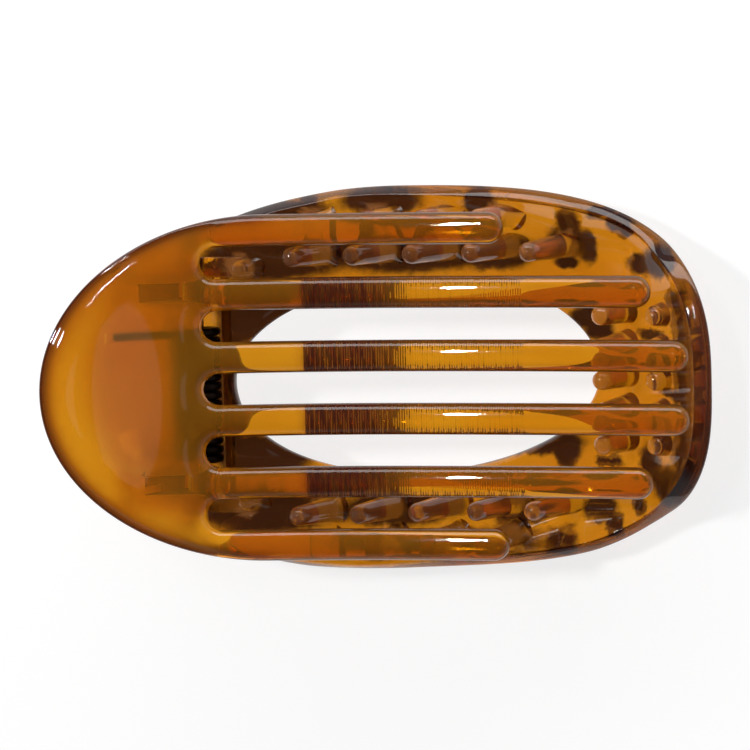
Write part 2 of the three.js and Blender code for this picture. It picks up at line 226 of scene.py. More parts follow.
def store(piece, name, values):
    """Keeps one number for each vertex, for the materials to read."""
    attribute = piece.data.attributes.new(name, "FLOAT", "POINT")
    attribute.data.foreach_set("value", values.astype(np.float32))


def prism(name, outline, y_from, y_to, bevel=0.3):
    """A plate with the outline in x and z, from y_from to y_to, its edges rounded."""
    count = len(outline)
    points = [(x, y, z) for y in (y_from, y_to) for x, z in outline]
    faces = [list(range(count)), list(range(2 * count - 1, count - 1, -1))]
    faces += [(i, (i + 1) % count, count + (i + 1) % count, count + i) for i in range(count)]
    piece = outward(mesh_object(name, points, faces))
    if bevel:
        work = bmesh.new()
        work.from_mesh(piece.data)
        ends = [e for e in work.edges if abs(e.verts[0].co.y - e.verts[1].co.y) < 1e-6]
        bmesh.ops.bevel(work, geom=ends, offset=bevel, segments=3, profile=0.5, affect="EDGES")
        work.to_mesh(piece.data)
        work.free()
    return piece


def mirrored_plates(name, outline, span):
    """The same plate on either side, over a span of y."""
    return [prism(name, outline, *sorted((side * span[0], side * span[1]))) for side in (-1, 1)]


def bore():
    """The hole for the pin, right through a jaw."""
    radius = PIN_RADIUS + CLEARANCE
    outline = [(HINGE_X + radius * c, HINGE_Z + radius * s) for c, s in circle(48)]
    return prism("bore", outline, -30, 30, bevel=0)


def arc_points(radius, from_degrees, to_degrees, steps):
    """Points of an arc round the hinge axis in x and z."""
    found = []
    for i in range(steps + 1):
        angle = math.radians(from_degrees + (to_degrees - from_degrees) * i / steps)
        found.append((HINGE_X + radius * math.cos(angle), HINGE_Z + radius * math.sin(angle)))
    return found


def smoothstep(value, low, high):
    """0 below low and 1 above high, with a smooth rise between."""
    t = np.clip((np.asarray(value, float) - low) / (high - low), 0, 1)
    return t * t * (3 - 2 * t)


def profile(stations):
    """A smooth cubic through (x, value) stations, level beyond the first and the last."""
    xs = np.array([s[0] for s in stations], float)
    ys = np.array([s[1] for s in stations], float)
    slopes = np.empty_like(ys)
    for i in range(len(xs)):
        before, after = max(i - 1, 0), min(i + 1, len(xs) - 1)
        slopes[i] = (ys[after] - ys[before]) / (xs[after] - xs[before])

    def value(x):
        x = np.clip(np.asarray(x, float), xs[0], xs[-1])
        k = np.clip(np.searchsorted(xs, x) - 1, 0, len(xs) - 2)
        span = xs[k + 1] - xs[k]
        t = (x - xs[k]) / span
        return ((2 * t**3 - 3 * t**2 + 1) * ys[k] + (t**3 - 2 * t**2 + t) * span * slopes[k]
                + (3 * t**2 - 2 * t**3) * ys[k + 1] + (t**3 - t**2) * span * slopes[k + 1])

    return value


# ---------- comb jaw ----------
def comb_height(x):
    """Middle of the comb's thickness: lowest part way along the tines, and curling up more towards the pad."""
    lowest_x, lowest = 33, -1.4
    x = np.asarray(x, float)
    return np.where(x < lowest_x, 0.0026, 0.0009) * (x - lowest_x) ** 2 + lowest


def tine_centre(index):
    """The y of a tine, counted from the far side."""
    return (2.5 - index) * TINE_PITCH


def comb_outline(fine):
    """Outline stations of the comb and their inward normals."""
    points, normals = [], []

    def add(x, y, nx, ny):
        points.append((x, y))
        normals.append((nx, ny))

    def straight(x_from, x_to, y, ny, ribbed):
        low, high = min(x_from, x_to), max(x_from, x_to)
        stops = [low]
        if fine:
            def spread(a, b, step):
                if b - a > step:
                    stops.extend(np.linspace(a, b, max(int(round((b - a) / step)), 1) + 1)[1:])
            if ribbed:
                spread(low, RIB_FROM, OUTLINE_STEP)
                spread(RIB_FROM, min(RIB_TO, high), RIB_PITCH / 2)
                spread(min(RIB_TO, high), high, OUTLINE_STEP)
            else:
                spread(low, high, OUTLINE_STEP)
        else:
            stops.append(high)
        stops = sorted(stops, reverse=x_to < x_from)[1:]
        if abs(stops[-1] - x_to) < 1e-6:
            stops.pop()
        for x in stops:
            add(x, y, 0, ny)

    def arc(x, y, radius, from_degrees, to_degrees, steps, outward_sign):
        for i in range(steps + 1):
            a = math.radians(from_degrees + (to_degrees - from_degrees) * i / steps)
            add(x + radius * math.cos(a), y + radius * math.sin(a),
                outward_sign * math.cos(a), outward_sign * math.sin(a))

    pad_steps = 120 if fine else 60
    for i in range(pad_steps + 1):
        a = math.pi / 2 + math.pi * i / pad_steps
        nx, ny = -math.cos(a) / COMB_PAD_LENGTH, -math.sin(a) / COMB_HALF_WIDTH
        size = math.hypot(nx, ny)
        add(COMB_PAD_CENTRE + COMB_PAD_LENGTH * math.cos(a), COMB_HALF_WIDTH * math.sin(a), nx / size, ny / size)
    half = TINE_WIDTH / 2
    tip_steps = 20 if fine else 12
    for index in range(5, -1, -1):
        y = tine_centre(index)
        shoulder = TINE_TIPS[index] - half
        ribbed = 0 < index < 5
        straight(COMB_PAD_CENTRE if index == 5 else SLOT_HALF, shoulder, y - half, 1, ribbed)
        arc(shoulder, y, half, -90, 90, tip_steps, -1)
        straight(shoulder, COMB_PAD_CENTRE if index == 0 else SLOT_HALF, y + half, -1, ribbed)
        if index > 0:
            arc(SLOT_HALF, y + TINE_PITCH / 2, SLOT_HALF, -90, -270, tip_steps, 1)
    return np.array(points), np.array(normals)


def distance_to(outline, queries):
    """Distance of each query point to a closed outline."""
    a = outline
    b = np.roll(outline, -1, axis=0)
    ab = b - a
    size = np.maximum((ab**2).sum(1), 1e-12)
    found = np.empty(len(queries))
    for start in range(0, len(queries), 2000):
        q = queries[start:start + 2000, None, :]
        t = np.clip(((q - a) * ab).sum(2) / size, 0, 1)
        nearest = a + t[..., None] * ab
        found[start:start + 2000] = np.sqrt(((q - nearest) ** 2).sum(2).min(1))
    return found


def comb_half_thickness(inset):
    """Half the comb's thickness, rounded over towards its outline."""
    t = np.clip(1 - np.asarray(inset, float) / EDGE_REACH, 0, 1)
    return COMB_THICKNESS / 2 * (1 - t**EDGE_POWER) ** (1 / EDGE_POWER)


def rib_drop(x, y):
    """How far the fine grip ribs under the inner tines stand down."""
    nearest = TINE_PITCH * (np.floor(np.abs(y) / TINE_PITCH) + 0.5)
    across = 1 - smoothstep(np.abs(np.abs(y) - nearest), 1.9, 2.5)
    inner = np.abs(y) < 2 * TINE_PITCH
    along = (x > RIB_FROM - 1e-6) & (x < RIB_TO + 1e-6)
    fade = 1 - RIB_FADE * smoothstep(x, RIB_FADE_FROM, RIB_FADE_TO)
    uneven = 1 + 0.18 * np.sin(5.1 * x + 1.3 * y) * np.sin(1.7 * x - 0.9 * y)
    wave = 1 - np.abs(1 - 2 * np.mod((x - RIB_FROM) / RIB_PITCH, 1))
    return RIB_DEPTH * wave * across * along * inner * fade * uneven


def lug_fillet(x, y):
    """How far the pad's underside swells down beside the comb's lugs."""
    beside = np.maximum(np.maximum(COMB_LUG[0] - np.abs(y), np.abs(y) - COMB_LUG[1]), 0)
    beyond = np.maximum(np.maximum(LUG_FROM - x, x - LUG_TO), 0)
    away = np.clip(np.hypot(beside, beyond) / LUG_FILLET, 0, 1)
    return LUG_SWELL * (1 - away) ** 2


PAD_ELLIPSE = np.array([
    (COMB_PAD_CENTRE + COMB_PAD_LENGTH * math.cos(a), COMB_HALF_WIDTH * math.sin(a))
    for a in np.linspace(0, 2 * math.pi, 361)[:-1]])


def pad_rounding(x, y):
    """1 at the thumb pad's outline, easing to 0 further in and along the tines."""
    from_edge = distance_to(PAD_ELLIPSE, np.column_stack([x, y]))
    return (1 - np.clip(from_edge / PAD_ROUND, 0, 1)) ** 2 * (1 - smoothstep(x, -4, 9))


def comb_inner_points(outline, coarse):
    """Points inside the comb's rows of quads: a row down the middle of each tine and a grid over the pad."""
    found = []
    half = TINE_WIDTH / 2
    for index in range(6):
        y = tine_centre(index)
        shoulder = TINE_TIPS[index] - half
        on_row = np.abs(outline[:, 1] - (y + half)) < 1e-6
        found += [(x, y) for x in outline[on_row, 0] if 4 < x < shoulder + 0.1]
    grid = []                        # triangular, over more than the pad, and then cut back to it
    for row, x in enumerate(np.arange(-25, 3.4, INNER_STEP * 0.866)):
        for y in np.arange(-28, 28, INNER_STEP):
            grid.append((x, y + (row % 2) * INNER_STEP / 2))
    grid = np.array(grid)
    inside_pad = ((grid[:, 0] - COMB_PAD_CENTRE) / COMB_PAD_LENGTH) ** 2 + (grid[:, 1] / COMB_HALF_WIDTH) ** 2 < 1
    nearest_slot = TINE_PITCH * np.round(grid[:, 1] / TINE_PITCH)
    in_slot = (np.hypot(grid[:, 0] - SLOT_HALF, grid[:, 1] - nearest_slot) < SLOT_HALF) | (
        (grid[:, 0] > SLOT_HALF) & (np.abs(grid[:, 1] - nearest_slot) < SLOT_HALF))
    in_slot &= np.abs(nearest_slot) < 2.5 * TINE_PITCH
    deep = distance_to(coarse, grid) > LOOPS[-1] + 0.45
    return found + [tuple(p) for p in grid[inside_pad & ~in_slot & deep]]


def on_comb(xy, depth, side):
    """Points of the comb's upper (side 1) or lower (side -1) skin, at their depth in from the outline."""
    x, y = xy[:, 0], xy[:, 1]
    z = comb_height(x) + side * comb_half_thickness(depth)
    eased = pad_rounding(x, y) * np.clip(depth / 0.9, 0, 1)
    z = z - eased * (PAD_TOP_DROP if side > 0 else -PAD_UNDER_RISE)
    if side < 0:
        z = z - rib_drop(x, y) * (depth > 0.3) - lug_fillet(x, y) * np.clip(depth / 1.5, 0, 1)
    return np.column_stack([x, y, z])


def comb_plate():
    """The pad and tines: rows of quads round the edge and a triangulated middle, above and below."""
    outline, normals = comb_outline(True)
    coarse, _ = comb_outline(False)
    count = len(outline)
    loops = [outline + normals * inset for inset in LOOPS]

    middle = [tuple(p) for p in loops[-1]] + comb_inner_points(outline, coarse)
    flat = delaunay_2d_cdt([Vector(p) for p in middle], [], [list(range(count))], 1, 1e-5)
    flat_points = np.array([tuple(v) for v in flat[0]])
    triangles, came_from = flat[2], flat[3]
    depth = np.minimum(distance_to(coarse, flat_points), EDGE_REACH)

    points, faces = list(on_comb(loops[0], np.zeros(count), 1)), []
    for side in (1, -1):
        rows = [list(range(count))]
        for inset, loop in zip(LOOPS[1:-1], loops[1:-1]):
            start = len(points)
            points.extend(on_comb(loop, np.full(count, inset), side))
            rows.append(list(range(start, start + count)))
        start = len(points)
        points.extend(on_comb(flat_points, depth, side))
        last = [None] * count
        for i, sources in enumerate(came_from):
            for source in sources:
                if source < count:
                    last[source] = start + i
        rows.append(last)
        for outer_row, inner_row in zip(rows[:-1], rows[1:]):
            for i in range(count):
                j = (i + 1) % count
                faces.append((outer_row[i], outer_row[j], inner_row[j], inner_row[i]))
        faces.extend([tuple(start + v for v in t) for t in triangles])
    return outward(mesh_object("comb_plate", points, faces))


def comb_lug_outline():
    """Outline of a comb lug: an eye round the pin that widens into the pad."""
    def under_plate(x, depth):
        return (x, float(comb_height(x)) - depth)

    return [
        under_plate(1.2, LUG_SUNK),
        *arc_points(EYE_RADIUS, 20, -180, 28),
        under_plate(-11.6, COMB_THICKNESS / 2 + 0.2),
        under_plate(-12.2, LUG_SUNK),
        under_plate(-6, LUG_SUNK),
    ]


def leg_channel(angle, y, direction):
    """The room that a spring leg lies in."""
    width = 2 * (WIRE_RADIUS + CLEARANCE)
    work = bmesh.new()
    bmesh.ops.create_cube(work, size=1)
    place = (Matrix.Translation((HINGE_X, y, HINGE_Z)) @ Matrix.Rotation(direction * angle, 4, "Y")
             @ Matrix.Translation((-LEG_LENGTH / 2 - 0.4, 0, direction * COIL_RADIUS))
             @ Matrix.Diagonal((LEG_LENGTH + 2, width, width, 1)))
    bmesh.ops.transform(work, matrix=place, verts=work.verts)
    bmesh.ops.bevel(work, geom=list(work.edges), offset=0.35, segments=3, profile=0.5, affect="EDGES")
    mesh = bpy.data.meshes.new("channel")
    work.to_mesh(mesh)
    work.free()
    return link_object("channel", mesh)


def comb_marks(piece):
    """Stores where the comb is matt (under the thumb pad, lugs included), and where painted shade goes on its ribbed
    stretch and on its edges.
    """
    co = np.array([v.co for v in piece.data.vertices])
    x, y = co[:, 0], co[:, 1]
    below = comb_height(x) - co[:, 2]
    store(piece, "matt", smoothstep(below, 0.3, 0.9) * (1 - smoothstep(x, 0.5, 2.5)))

    starts = smoothstep(x, RIB_FROM - 0.5, RIB_FROM + 1.0)
    # painted shade over the ribbed stretch of the inner tines, fading out along x
    store(piece, "ribbed", starts * (1 - smoothstep(x, *RIB_SHADE_FADE)) * (np.abs(y) < 2 * TINE_PITCH))

    # painted shade round the thumb pad's rim and along the tines' sides, where light runs long through the rounded
    # edges
    pad_edge_shade = (1 - smoothstep(distance_to(PAD_ELLIPSE, co[:, :2]), 0.1, 2.4)) * (1 - smoothstep(x, 8, 14))
    tine = np.clip(np.round(2.5 - y / TINE_PITCH), 0, 5)
    from_tine = np.abs(y - tine_centre(tine))
    tine_edge_shade = TINE_EDGE_SHADE * smoothstep(from_tine, 1.8, 2.55) * smoothstep(x, 3, 9)
    store(piece, "edge", np.maximum(pad_edge_shade, tine_edge_shade))


def build_comb():
    piece = comb_plate()
    combine(piece, mirrored_plates("lug", comb_lug_outline(), COMB_LUG), "UNION")
    combine(piece, [bore(), leg_channel(UPPER_LEG_ANGLE, COIL_START_Y, 1)], "DIFFERENCE")
    comb_marks(piece)
    return piece


# ---------- frame jaw ----------
# height of the plate's middle at the opening's edge and at the outer rim, by x
frame_floor = profile([
    (-25, -18.0), (-18, -15.0), (-9, -11.2), (-3, -8.0), (3, -5.2), (11, -6.0), (19, -8.3),
    (30, -12.0), (40, -15.0), (49, -17.3), (57, -18.5), (66, -17.6), (73, -14.6), (79, -11.0),
])
frame_rim = profile([
    (-25, -18.0), (-18, -15.0), (-9, -10.8), (-3, -7.0), (3, -4.4), (14, -6.4), (22, -9.9),
    (30, -12.0), (40, -13.2), (50, -13.4), (60, -13.0), (70, -12.2), (74, -10.0), (77, -6.0),
    (80, -2.4), (82.1, -0.6),
])


def superellipse(x, length, half_width, power):
    """Half width of a superellipse at x from its centre."""
    reach = min(abs(x) / length, 1)
    return half_width * (1 - reach**power) ** (1 / power)


def frame_half_width(x):
    """Half width of the frame's outline, the ring and the thumb pad together."""
    from_centre = x - FRAME_CENTRE
    if from_centre > 0:
        return superellipse(from_centre, FRAME_RIGHT_LENGTH, FRAME_HALF_WIDTH, FRAME_RIGHT_POWER)
    ring = superellipse(from_centre, FRAME_LEFT_LENGTH, FRAME_HALF_WIDTH, FRAME_LEFT_POWER)
    pad = 0
    if x < COMB_PAD_CENTRE:
        pad = superellipse(x - COMB_PAD_CENTRE, FRAME_PAD_LENGTH, FRAME_PAD_HALF_WIDTH, 2)
    return max(ring, pad)


def frame_edge(angle):
    """How far the frame's outline is from the opening's centre, found by halving."""
    dx, dy = math.cos(angle), math.sin(angle)
    near, far = 10.0, 70.0
    for _ in range(40):
        middle = (near + far) / 2
        x = OPENING_CENTRE + middle * dx
        inside = (COMB_PAD_CENTRE - FRAME_PAD_LENGTH < x < FRAME_CENTRE + FRAME_RIGHT_LENGTH
                  and abs(middle * dy) < frame_half_width(x))
        near, far = (middle, far) if inside else (near, middle)
    return near


def frame_section(angle, steps=160):
    """Middle of the plate along one ray: reach and height, from the opening outwards.

    At the sides the floor climbs to the rim in a gentle curve; towards the far end it turns upright.
    """
    dx = math.cos(angle)
    inner = 1 / math.hypot(dx / OPENING_HALF_LENGTH, math.sin(angle) / OPENING_HALF_WIDTH)
    outer = frame_edge(angle)
    rim_x = OPENING_CENTRE + outer * dx
    half = FRAME_THICKNESS / 2
    upright = float(smoothstep(rim_x, UPRIGHT_FROM, UPRIGHT_TO))
    climb_at_rim = float(frame_rim(rim_x) - frame_floor(min(rim_x, FLOOR_END_X))) + half
    side_slope = math.atan(RIM_CURL * climb_at_rim / (outer - inner))
    rim_slope = side_slope + (math.pi / 2 - side_slope) * upright
    rim_reach = outer - half * math.sin(rim_slope)
    rim_height = float(frame_rim(rim_x)) + half * math.cos(rim_slope) * (1 - upright) - half * upright
    u = np.linspace(0, 1, steps + 1)
    turn = u * math.pi / 2
    along = u + (np.sin(turn) - u) * upright
    reach = inner + (rim_reach - inner) * along
    floor = frame_floor(np.minimum(OPENING_CENTRE + reach * dx, FLOOR_END_X)) - half
    climb = u**RIM_CURL + (1 - np.cos(turn) - u**RIM_CURL) * upright
    return reach, floor + (rim_height - floor) * climb


# how far in from the opening's edge and from the rim the rows of points stand, and how those edges round
OPENING_STOPS = np.array([0, 0.02, 0.08, 0.2, 0.38, 0.62, 0.95])
OPENING_ROUND, OPENING_POWER = 0.95, 2.4
RIM_STOPS = np.array([0, 0.012, 0.05, 0.12, 0.22, 0.36, 0.6])
RIM_ROUND, RIM_POWER = 0.6, 3.0
REST_SOFTNESS = 0.12                 # how gently the underside flattens onto the resting surface


def frame_plate(rays, middle_steps):
    """The ring and thumb pad as one closed skin."""
    half = FRAME_THICKNESS / 2
    points = []
    for ray in range(rays):
        angle = 2 * math.pi * ray / rays
        reach, height = frame_section(angle)
        walked = np.concatenate([[0], np.cumsum(np.hypot(np.diff(reach), np.diff(height)))])
        length = walked[-1]
        stops = np.concatenate([
            OPENING_STOPS, np.linspace(OPENING_STOPS[-1], length - RIM_STOPS[-1], middle_steps + 1)[1:-1],
            length - RIM_STOPS[::-1]])
        r = np.interp(stops, walked, reach)
        h = np.interp(stops, walked, height)
        run = np.interp(stops, walked, np.gradient(reach, walked))
        rise = np.interp(stops, walked, np.gradient(height, walked))
        norm = np.hypot(run, rise)
        run, rise = run / norm, rise / norm
        at_opening = np.clip(1 - stops / OPENING_ROUND, 0, 1)
        at_rim = np.clip(1 - (length - stops) / RIM_ROUND, 0, 1)
        offset = half * ((1 - at_opening**OPENING_POWER) ** (1 / OPENING_POWER)
                         * (1 - at_rim**RIM_POWER) ** (1 / RIM_POWER))
        upper = np.column_stack([r - offset * rise, h + offset * run])
        under = h - offset * run
        under = -REST_DEPTH + REST_SOFTNESS * np.logaddexp(0, (under + REST_DEPTH) / REST_SOFTNESS)
        lower = np.column_stack([r + offset * rise, under])
        loop = np.vstack([upper, lower[-2:0:-1]])
        size = len(loop)
        points += [(OPENING_CENTRE + out * math.cos(angle), out * math.sin(angle), z) for out, z in loop]
    faces = tube_faces(rays, size)
    last = (rays - 1) * size
    faces += [(last + i, last + (i + 1) % size, (i + 1) % size, i) for i in range(size)]
    return outward(mesh_object("frame_plate", points, faces))


def frame_top(x, y):
    """Height of the ring's upper side."""
    angle = math.atan2(y, x - OPENING_CENTRE)
    reach, height = frame_section(angle)
    return float(np.interp(math.hypot(x - OPENING_CENTRE, y), reach, height)) + FRAME_THICKNESS / 2


# pegs of the side rows: base x, tip x, tip height, and the tip height of the shorter peg beside it in the outer row
SIDE_STATIONS = [
    (18.9, 14.1, -0.6, -4.6), (28.9, 23.8, -2.3, -5.6), (38.6, 33.2, -4.3, -6.8),
    (48.4, 42.7, -5.5, -7.4), (57.9, 52.0, -5.9, None),
]
CHEEK_PEG = (6.6, 5.2, -2.2, 19.1, 1.25)     # base x, tip x, tip height, y, tip radius
END_COLUMNS = [(67.6, 63.4, -7.6), (74.0, 72.1, -7.1)]


def peg_list():
    """Base x, tip x, tip height, y and tip radius of each peg."""
    pegs = []
    for side in (-1, 1):
        base_x, tip_x, tip_z, from_middle, tip_radius = CHEEK_PEG
        pegs.append((base_x, tip_x, tip_z, side * from_middle, tip_radius))
        for base_x, tip_x, tip_z, outer_z in SIDE_STATIONS:
            pegs.append((base_x, tip_x, tip_z, side * 4 * ROW_PITCH, PEG_TIP_RADIUS))
            if outer_z is not None:
                fraction = (tip_z - outer_z) / (tip_z - float(frame_floor(base_x)))
                pegs.append((base_x, tip_x + (base_x - tip_x) * fraction, outer_z,
                             side * 5 * ROW_PITCH, PEG_TIP_RADIUS))
    for base_x, tip_x, tip_z in END_COLUMNS:
        for row in range(-2, 3):
            pegs.append((base_x, tip_x, tip_z, row * ROW_PITCH, PEG_TIP_RADIUS))
    return pegs


def peg(base_x, tip_x, tip_z, y, tip_radius, sides=32):
    """A leaning peg: a taper that flares at its foot and ends in a dome."""
    foot = Vector((base_x, y, frame_top(base_x, y)))
    tip = Vector((tip_x, y, tip_z))
    direction = (tip - foot).normalized()
    foot -= direction * PEG_ROOT_DEPTH
    shoulder = (tip - foot).length
    outline = [(PEG_BASE_RADIUS + PEG_FLARE, 0.0)]
    dome_from = shoulder - DOME_DEPTH
    for h in np.concatenate([np.linspace(0.3, 2.6, 10), np.linspace(3.2, dome_from, 8)]):
        taper = PEG_BASE_RADIUS + (tip_radius - PEG_BASE_RADIUS) * h / shoulder
        flare = PEG_FLARE * max(0, 1 - h / PEG_FLARE_HEIGHT) ** 2
        outline.append((taper + flare, h))
    for a in np.radians(np.linspace(12, 80, 8)):
        outline.append((tip_radius * math.cos(a), dome_from + DOME_HEIGHT * math.sin(a)))
    place = Matrix.Translation(foot) @ direction.to_track_quat("Z", "Y").to_matrix().to_4x4()
    points = [place @ Vector((radius * c, radius * s, height)) for radius, height in outline for c, s in circle(sides)]
    top = len(points)
    points.append(place @ Vector((0, 0, dome_from + DOME_HEIGHT)))
    faces = tube_faces(len(outline), sides)
    faces += [(top - sides + i, top - sides + (i + 1) % sides, top) for i in range(sides)]
    faces.append(list(range(sides - 1, -1, -1)))
    return outward(mesh_object("peg", points, faces))


def mark_pegs(piece):
    """Stores how much each vertex belongs to a peg, so that the pegs can have their own tint."""
    co = np.array([v.co for v in piece.data.vertices])
    found = np.zeros(len(co))
    for base_x, tip_x, tip_z, y, _ in peg_list():
        foot = np.array((base_x, y, frame_top(base_x, y)))
        axis = np.array((tip_x, y, tip_z)) - foot
        length = np.linalg.norm(axis)
        axis /= length
        along = (co - foot) @ axis
        across = np.linalg.norm(co - foot - along[:, None] * axis, axis=1)
        near = (across < PEG_BASE_RADIUS + 0.25) & (along < length + 1)
        found = np.maximum(found, near * smoothstep(along, 0.1, 1.3))
    store(piece, "peg", found)


def frame_lug_outline():
    """Outline of a hinge cheek: an eye round the pin on a foot that runs onto the ring."""
    return [(-6.2, -9.6), (-2, -9.4), (7.5, -6.8), (7.5, -5.0), (4.5, -3.4), *arc_points(EYE_RADIUS, 60, 190, 24)]


def build_frame():
    piece = frame_plate(rays=300, middle_steps=16)
    left, right, half = WINDOW
    below, above = -26, 14
    window = prism("window", [(left, below), (right, below), (right, above), (left, above)], -half, half, bevel=0)
    combine(piece, [window], "DIFFERENCE")
    trough_outline = [*arc_points(TROUGH_OUTER, TROUGH_FROM, TROUGH_TO, 40),
                      *arc_points(TROUGH_INNER, TROUGH_TO, TROUGH_FROM, 40)]
    trough = prism("trough", trough_outline, -TROUGH_HALF_WIDTH, TROUGH_HALF_WIDTH, bevel=0)
    lugs = mirrored_plates("lug", frame_lug_outline(), FRAME_LUG)
    pegs = [peg(*facts) for facts in peg_list()]
    combine(piece, [trough, *lugs, *pegs], "UNION")
    combine(piece, [bore(), leg_channel(LOWER_LEG_ANGLE, COIL_END_Y, -1)], "DIFFERENCE")
    mark_pegs(piece)
    return piece


# ---------- spring and pin ----------
def spring_point(walked):
    """The wire's middle, at a distance along the wire from the start of the coil."""
    turned = min(max(walked, 0), COIL_LENGTH) / COIL_RADIUS
    straight = walked - turned * COIL_RADIUS
    angle = FIRST_ANGLE - turned
    return Vector((
        HINGE_X + COIL_RADIUS * math.cos(angle) + straight * math.sin(angle),
        COIL_START_Y - COIL_PITCH * turned / (2 * math.pi),
        HINGE_Z + COIL_RADIUS * math.sin(angle) - straight * math.cos(angle),
    ))


def build_spring(sides=14, per_turn=36):
    """Round wire swept along one leg, the coil and the other leg, with softened ends."""
    step = 2 * math.pi * COIL_RADIUS / per_turn
    stops = list(np.linspace(-LEG_LENGTH, 0, 10)[:-1])
    stops += list(np.linspace(0, COIL_LENGTH, int(COIL_LENGTH / step)))
    stops += list(np.linspace(COIL_LENGTH, COIL_LENGTH + LEG_LENGTH, 10)[1:])
    soft = WIRE_END_SOFTNESS
    walk = [(stops[0], 0.55), (stops[0] + soft * 0.3, 0.8), (stops[0] + soft, 1.0)]
    walk += [(walked, 1.0) for walked in stops[1:-1]]
    walk += [(stops[-1] - soft, 1.0), (stops[-1] - soft * 0.3, 0.8), (stops[-1], 0.55)]
    points = []
    for walked, scale in walk:
        centre = spring_point(walked)
        ahead = (spring_point(walked + 0.01) - spring_point(walked - 0.01)).normalized()
        side = ahead.cross(Vector((0, 1, 0))).normalized()
        up = side.cross(ahead).normalized()
        points += [centre + (side * c + up * s) * WIRE_RADIUS * scale for c, s in circle(sides)]
    return outward(mesh_object("spring", points, capped_tube_faces(len(walk), sides)))


def build_pin(sides=48):
    """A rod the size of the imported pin, its ends rounded."""
    low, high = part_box("hinge_pin")
    reach = (high.y - low.y) * 500
    radius = (high.x - low.x) * 500
    end = [(radius * 0.6, reach), (radius * 0.88, reach - 0.08), (radius, reach - 0.3)]
    rings = end + [(r, -y) for r, y in reversed(end)]
    points = [(HINGE_X + r * c, y, HINGE_Z + r * s) for r, y in rings for c, s in circle(sides)]
    return outward(mesh_object("pin", points, capped_tube_faces(len(rings), sides)))


# ---------- materials ----------
LIGHT_AMBER, DEEP_AMBER = (0.88, 0.40, 0.036), (0.83, 0.335, 0.024)
LIGHT_RING, DEEP_RING = (0.86, 0.355, 0.034), (0.79, 0.29, 0.022)
DARK = (0.068, 0.021, 0.015)
PEG_BROWN = (0.74, 0.33, 0.15)
# painted shade of the far wall, seen at a grazing angle, with a little grey as painted reflection
FAR_WALL_PAINTED_SHADE = (0.34, 0.135, 0.085)
PAD_AMBER = (0.78, 0.38, 0.09)
# painted shade for the ribbed stretch, where the ribs turn the light back
RIB_PAINTED_SHADE = (0.27, 0.072, 0.038)
# painted shade for the pad's rim and the tines' sides
EDGE_PAINTED_SHADE = (0.24, 0.070, 0.030)
DYE, DYE_DENSITY = (0.972, 0.955, 0.60), 1000
POLISHED, MATT = 0.02, 0.55          # roughness of the comb
RAGGED = 2.6                         # how far, in mm, noise pushes the outlines of the dark patches
PATCH_BLEND = 0.55                   # how smoothly neighbouring patches run together
PATCH_EDGE = (1.36, 0.84)            # where a patch begins and is full, as shares of its size
STEEL_GRAIN = 2500
PAD_TINT_X = (-2.0, -9.0)            # where the frame's colour turns into its pad's, and into its far wall's painted shade
# the far wall's dark brown with a little grey is painted shade and painted reflection
FAR_WALL_SHADE_X = (77.5, 80.5)

# dark patches of the frame: centre x, centre y, half length, half width, in layout mm
PATCHES = [
    (16.9, 29.5, 1.6, 1.5), (28.0, 29.6, 6.0, 2.3), (43.7, 29.1, 2.6, 2.6), (58.0, 25.1, 1.9, 2.6),
    (57.3, 22.0, 3.2, 2.3), (61.0, 21.1, 1.5, 2.9), (57.1, 18.2, 1.9, 1.1), (63.7, 27.3, 2.3, 1.0),
    (66.5, 25.4, 1.9, 1.3), (67.6, 23.8, 1.1, 1.0), (73.4, 19.2, 2.2, 2.6), (70.3, 18.3, 2.3, 1.6),
    (76.3, 13.2, 1.1, 1.6), (60.9, 8.9, 3.5, 1.6), (62.5, 6.9, 2.3, 1.6), (72.1, 6.8, 2.6, 0.8),
    (75.7, -2.5, 1.9, 0.8), (56.5, -13.0, 1.9, 2.9), (63.9, -14.8, 2.3, 0.8), (71.3, -14.5, 1.6, 2.9),
    (77.6, -13.0, 1.8, 4.8), (62.2, -22.3, 2.9, 1.9), (65.0, -24.9, 1.5, 1.6), (56.2, -27.6, 2.6, 1.6),
    (69.3, -21.3, 1.0, 1.5), (33.0, 20.8, 15.0, 3.3), (10.0, 20.5, 11.0, 3.4), (8.0, 12.5, 8.0, 3.6),
    (3.0, 0.0, 2.6, 13.0), (10.0, 28.6, 9.0, 1.7), (36.1, -27.9, 17.0, 1.9), (48.9, -23.0, 4.5, 2.1),
    (29.6, -21.8, 9.0, 2.8), (7.0, -12.5, 8.0, 3.4), (8.0, -21.4, 11.0, 3.3), (10.9, -11.1, 6.5, 2.3),
    (5.8, 8.9, 4.8, 1.9), (46.0, 20.0, 6.0, 2.6), (51.0, -11.9, 8.0, 1.8), (77.6, 2.0, 1.3, 12.0),
    (74.6, -17.6, 2.4, 3.0), (50.0, -18.6, 8.0, 1.6),
]


